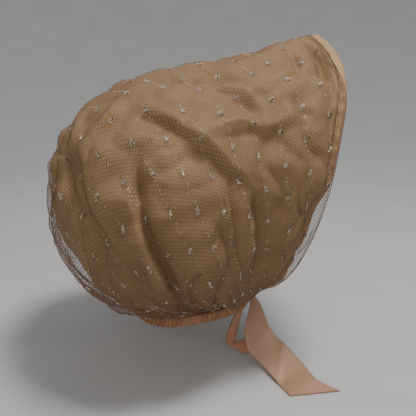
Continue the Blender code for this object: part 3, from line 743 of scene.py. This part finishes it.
# Neck casing. The satin and the net are folded into a channel and drawn up on the ribbon, so
# it stands in tight uneven pleats, and its lower edge is a small frill.
CASING_HEIGHT = 0.0095
CASING_DEPTH = 0.0056
CASING_DROP = 0.32          # its middle under the crown's edge, of its height
CASING_CLOTH = 0.0006
CASING_SQUARE = 0.45        # 1 is an oval section, and less is squarer
PLEATS = 78
PLEAT_DEPTH = 0.0015
FRILL = 0.0030
CASING_GRID = (760, 16)


def casing_axes(way_round):
    """The casing's middle, and the direction away from the neck."""
    centre = form(way_round, np.zeros_like(way_round))
    onwards = directions(way_round, np.zeros_like(way_round))[0]
    out = np.cross(onwards, (0.0, 0.0, 1.0))
    return centre, out / np.linalg.norm(out, axis=1, keepdims=True)


def pleated(way_round):
    """From -1 in the bottom of a pleat to 1 on its crest, with no two pleats alike."""
    phase = pi * PLEATS * way_round + 2.6 * np.sin(7 * way_round) + 1.5 * np.sin(23 * way_round + 1)
    tall = 0.7 + 0.3 * np.sin(29 * way_round + 2) * np.sin(47 * way_round)
    return tall * (1 - 2 * np.abs(np.sin(phase / 2)) ** 2.5)


def casing_places(across, around):
    way_round = 2 * across - 1
    centre, out = casing_axes(way_round)
    angle = 2 * pi * around
    pleat = pleated(way_round + 0.004 * np.sin(angle))
    wide = CASING_DEPTH / 2 * np.sign(np.cos(angle)) * np.abs(np.cos(angle)) ** CASING_SQUARE
    wide += PLEAT_DEPTH * pleat * np.cos(angle) - CASING_DEPTH / 2
    low = np.maximum(-np.sin(angle), 0) ** 2
    tall = CASING_HEIGHT / 2 * np.sin(angle) - FRILL * low * (0.5 + 0.5 * pleat)
    tall -= CASING_HEIGHT * CASING_DROP
    return centre + out * wide[:, None] + np.array([0, 0, 1]) * tall[:, None]


# The same satin, stained in patches by the coral dye that has run out of the ribbon.
coral, shader = new_material("coral_bled_satin", "#97694c", Specular_IOR_Level=0.3)
woven_satin(coral, shader, "#77492f", "#b78c68", 0.009, (40.0, 3.0, 1), 0.00015)
casing = cloth_grid("gathered_neck_casing", *CASING_GRID, casing_places, coral, closed=True)
thicken(casing, CASING_CLOTH)

# The net goes into the casing with the satin. Outside it lies in the same pleats and ends in
# a ragged frill, and the dye has coloured it too.
CASING_NET_WIDTH = 0.600
CASING_NET_LENGTH = 0.0185


def casing_net_places(x, y):
    way_round = 2 * np.clip(x / CASING_NET_WIDTH, -0.5, 0.5)
    centre, out = casing_axes(way_round)
    pleat = pleated(way_round)
    down = y / CASING_NET_LENGTH
    swell = 0.0022 * np.sin(pi * np.clip(down, 0, 1)) + 0.0012
    wide = swell + PLEAT_DEPTH * pleat + 0.0009 * np.sin(5 * pi * down + 40 * way_round)
    ragged = np.sin(90 * way_round) + 1.3 * np.sin(37 * way_round) * np.sin(13 * way_round + 1)
    tall = 0.0015 - down * (CASING_HEIGHT + 0.0034 + 0.0012 * ragged)
    return centre + out * wide[:, None] + np.array([0, 0, 1]) * tall[:, None]


pink_yarn, _ = new_material("dye_bled_rayon_yarn", "#b98462", Roughness=0.6,
                            Specular_IOR_Level=0.2)
casing_net = bobbinet("casing_net_frill", CASING_NET_WIDTH, CASING_NET_LENGTH, casing_net_places,
                      lambda x, y: y < CASING_NET_LENGTH, pink_yarn)
for piece, slot in ((casing, "casing_satin"), (casing_net, "net")):
    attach(piece, "root")
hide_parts("neck_casing")

# Ribbon. One length of peach satin ribbon, 38 mm wide with woven edges. It is folded on itself
# inside the casing. Its tail falls to the floor in two flat panels with a crease between them,
# and its other end is a short loop that is folded back up.
RIBBON_WIDTH = 0.0380
RIBBON_CLOTH = 0.00035
RIBBON_IN_CASING = 0.0070
LAYER_GAP = 0.0005          # between the folded layers
CASING_STATIONS = 64
STATION_STEPS = 7
CASING_STEPS = 3
CREASE = 3                  # the station of the tail at which the ribbon is creased
RIBBON_COLUMNS = 28
Station = namedtuple("Station", "ax ay az bx by bz")
TAIL = (
    Station(-0.1438, -0.0654, 0.0008, -0.1545, -0.1200, 0.0009),    # slanting cut
    Station(-0.1360, -0.0645, 0.0008, -0.1368, -0.1015, 0.0080),
    Station(-0.1240, -0.0633, 0.0008, -0.1157, -0.0986, 0.0125),
    Station(-0.1205, -0.0625, 0.0030, -0.0780, -0.0895, 0.0240),
    Station(-0.0899, -0.0595, 0.0050, -0.0690, -0.0880, 0.0240),
    Station(-0.0653, -0.0516, 0.0120, -0.0576, -0.0831, 0.0320),
    Station(-0.0450, -0.0560, 0.0240, -0.0400, -0.0850, 0.0400),
    Station(-0.0250, -0.0690, 0.0360, -0.0190, -0.0870, 0.0480),
    Station(-0.0060, -0.0800, 0.0460, -0.0030, -0.0810, 0.0560),    # crosses the loop
)
LOOP = (
    Station(-0.0060, -0.0680, 0.0440, -0.0010, -0.0690, 0.0500),
    Station(-0.0170, -0.0560, 0.0370, -0.0120, -0.0665, 0.0350),
    Station(-0.0290, -0.0430, 0.0260, -0.0265, -0.0560, 0.0220),
    Station(-0.0370, -0.0350, 0.0130, -0.0400, -0.0470, 0.0105),
    Station(-0.0385, -0.0385, 0.0080, -0.0560, -0.0500, 0.0040),    # foot of the loop
    Station(-0.0430, -0.0430, 0.0105, -0.0600, -0.0560, 0.0080),
    Station(-0.0455, -0.0590, 0.0190, -0.0540, -0.0680, 0.0195),
    Station(-0.0370, -0.0680, 0.0290, -0.0400, -0.0740, 0.0300),
    Station(-0.0210, -0.0740, 0.0380, -0.0150, -0.0760, 0.0370),
)


def casing_station(way_round):
    centre, out = (v[0] for v in casing_axes(np.array([way_round])))
    centre = centre - out * CASING_DEPTH / 2
    low = centre.copy()
    low[2] -= CASING_HEIGHT * CASING_DROP + RIBBON_IN_CASING / 2
    high = low + (0, 0, RIBBON_IN_CASING)
    return (*low, *high)


def free_rows(stations):
    return [(s.ax, s.ay, s.az + floor_level, s.bx, s.by, s.bz + floor_level) for s in stations]


def ribbon_rows():
    """Both edges of the ribbon, from the tip of its tail to the end of its loop."""
    parts = []
    for rows in (free_rows(TAIL[:CREASE + 1]), [*free_rows(TAIL[CREASE:]), casing_station(1)],
                 [casing_station(1 - 2 * k / CASING_STATIONS) for k in range(CASING_STATIONS + 1)],
                 [casing_station(-1), *free_rows(LOOP)]):
        steps = STATION_STEPS if len(rows) < CASING_STATIONS else CASING_STEPS
        at = np.linspace(0, len(rows) - 1, (len(rows) - 1) * steps + 1)
        part = np.stack([curve_through(range(len(rows)), column, at) for column in zip(*rows)], 1)
        parts.append(part if not parts else part[1:])
    return np.concatenate(parts)


RIBBON_ROWS = ribbon_rows()
RIBBON_LENGTH = np.linalg.norm(np.diff(RIBBON_ROWS[:, :3] + RIBBON_ROWS[:, 3:], axis=0) / 2,
                               axis=1).sum()


def ribbon_places(across, along):
    """Where the room is narrower than the ribbon, it lies folded in layers, to and fro."""
    k = np.rint(along * (len(RIBBON_ROWS) - 1)).astype(int)
    rows = RIBBON_ROWS[k]
    a, b = rows[:, :3], rows[:, 3:]
    travel = np.gradient(RIBBON_ROWS[:, :3] + RIBBON_ROWS[:, 3:], axis=0)[k]
    off = np.cross(travel, b - a)
    off /= np.linalg.norm(off, axis=1, keepdims=True)
    room = np.linalg.norm(b - a, axis=1)
    layers = np.maximum(RIBBON_WIDTH / room, 1)
    layer = across * layers
    to_and_fro = 1 - np.abs(layer % 2 - 1)
    settled = off * ((layer - layers / 2) * LAYER_GAP)[:, None]
    return a + (b - a) * to_and_fro[:, None] + settled


# Acetate ribbon: a tighter, brighter satin than the crown's, with a firm selvage of three
# threads along each edge. The tail's end panel is darkened by painted shade, and the loop
# is painted a deeper coral for the shade it hangs in.
peach, shader = new_material("peach_acetate_ribbon", "#cda48a", Anisotropic=0.35,
                             Specular_IOR_Level=0.4, Specular_Tint=linear("#f0d0bc"))
cloth, patches, worn = woven_satin(peach, shader, "#c0967c", "#dab59b", 0.018,
                                   (22.0, RIBBON_LENGTH / 0.0016, 1), 0.00010)
across = add_node(peach, "SeparateXYZ", {}, [(0, cloth.outputs[0])])
middle = add_node(peach, "Math", {"operation": "SUBTRACT", 1: 0.5}, [(0, across.outputs["X"])])
from_middle = add_node(peach, "Math", {"operation": "ABSOLUTE"}, [(0, middle.outputs[0])])
edge = add_node(peach, "MapRange", {"From Min": 0.462, "From Max": 0.480, "To Min": 0.0,
                                    "To Max": 0.4}, [("Value", from_middle.outputs[0])])
# Painted shade: the tail's end panel, past the crease, is darkened towards #a07a60 for the side
# that faces away from the light.
end_panel_painted_shade = add_node(peach, "MapRange", {"From Min": 0.045, "From Max": 0.080, "To Min": 0.85,
                                      "To Max": 0.0}, [("Value", across.outputs["Y"])])
end = add_node(peach, "Mix", {"data_type": "RGBA", 7: linear("#a07a60")},
               [("Factor", end_panel_painted_shade.outputs[0]), (6, worn.outputs[2])])
# Painted shade: the loop, which hangs in the bonnet's shade against the neck, is tinted a darker,
# deeper coral.
loop_painted_shade = add_node(peach, "MapRange", {"From Min": 0.80, "From Max": 0.88, "To Min": 0.0,
                                       "To Max": 0.8}, [("Value", across.outputs["Y"])])
loop = add_node(peach, "Mix", {"data_type": "RGBA", 7: linear("#b67a5e")},
                [("Factor", loop_painted_shade.outputs[0]), (6, end.outputs[2])])
selvage = add_node(peach, "Mix", {"data_type": "RGBA", 7: linear("#a37059")},
                   [("Factor", edge.outputs[0]), (6, loop.outputs[2])])
peach.node_tree.links.new(shader.inputs["Base Color"], selvage.outputs[2])

ribbon = cloth_grid("ribbon_tie", RIBBON_COLUMNS, len(RIBBON_ROWS) - 1, ribbon_places, peach)
thicken(ribbon, RIBBON_CLOTH)
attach(ribbon, "root")
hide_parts("neck_ribbon")

# Floor and light. A pale sweep of paper that curves up all round. The light is soft: most is
# from above the wearer's right side, and some from a window behind.
SWEEP_FLAT = 1.0
SWEEP_CURVE = 1.6
SWEEP_STEPS = 14
sweep = bmesh.new()
corner = sweep.verts.new((0, 0, floor_level))
profile = [corner]
for k in range(SWEEP_STEPS + 1):
    turn = pi / 2 * k / SWEEP_STEPS
    profile.append(sweep.verts.new((SWEEP_FLAT + SWEEP_CURVE * sin(turn), 0,
                                    floor_level + SWEEP_CURVE * (1 - cos(turn)))))
lines = [sweep.edges.new(pair) for pair in zip(profile, profile[1:])]
bmesh.ops.spin(sweep, geom=profile + lines, cent=(0, 0, 0), axis=(0, 0, 1), angle=2 * pi,
               steps=72, use_merge=True)
bmesh.ops.remove_doubles(sweep, verts=sweep.verts, dist=1e-5)
bmesh.ops.recalc_face_normals(sweep, faces=sweep.faces)
paper, shader = new_material("matt_paper", "#c9c7c5", Roughness=0.9)
place = add_node(paper, "TexCoord", {})
mottle = add_node(paper, "TexNoise", {"Scale": 9.0, "Detail": 5.0},
                  [("Vector", place.outputs["Object"])])
shade = add_node(paper, "Mix", {"data_type": "RGBA", 6: linear("#c2c0be"), 7: linear("#cfcdcb")},
                 [("Factor", mottle.outputs["Fac"])])
paper.node_tree.links.new(shader.inputs["Base Color"], shade.outputs[2])
finished("floor", sweep, paper)

world = bpy.data.worlds.new("studio")
world.use_nodes = True
world.node_tree.nodes["Background"].inputs["Color"].default_value = linear("#d4d6d8")
world.node_tree.nodes["Background"].inputs["Strength"].default_value = 0.58
bpy.context.scene.world = world

Lamp = namedtuple("Lamp", "name place size watts")
for lamp in (
    Lamp("overhead", (-0.25, -0.25, 1.12), 0.30, 14.0),
    Lamp("window", (-1.30, 0.60, 0.40), 0.9, 4.5),
):
    light = bpy.data.lights.new(lamp.name, "AREA")
    light.size = lamp.size
    light.energy = lamp.watts
    holder = bpy.data.objects.new(lamp.name, light)
    holder.location = lamp.place
    aim = Vector((0, 0, -0.15)) - holder.location
    holder.rotation_euler = aim.to_track_quat("-Z", "Y").to_euler()
    bpy.context.scene.collection.objects.link(holder)
